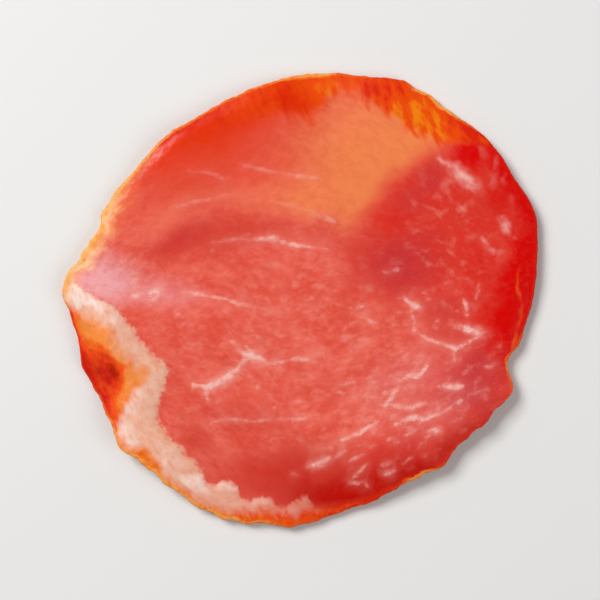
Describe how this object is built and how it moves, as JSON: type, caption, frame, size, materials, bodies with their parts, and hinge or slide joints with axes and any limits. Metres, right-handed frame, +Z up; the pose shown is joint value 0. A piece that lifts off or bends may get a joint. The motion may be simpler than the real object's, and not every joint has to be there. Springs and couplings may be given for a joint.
{
  "type": "sliced pork loin sausage",
  "caption": "Thin round slice of cured pork loin sausage with pale marbling, a ragged band of fat along part of its rim and a wavy, spice-stained edge.",
  "frame": {"origin": "bottom centre of the slice's box, in the surface that it lies on", "axes": "+Z up out of the cut face, +X to the right and +Y to the top of the slice as pictured from above"},
  "size_m": [0.073, 0.0698, 0.0041],
  "materials": {
    "cured_meat": "moist satin"
  },
  "bodies": {
    "root": {"loin_slice": "cured_meat"}
  },
  "joints": []
}
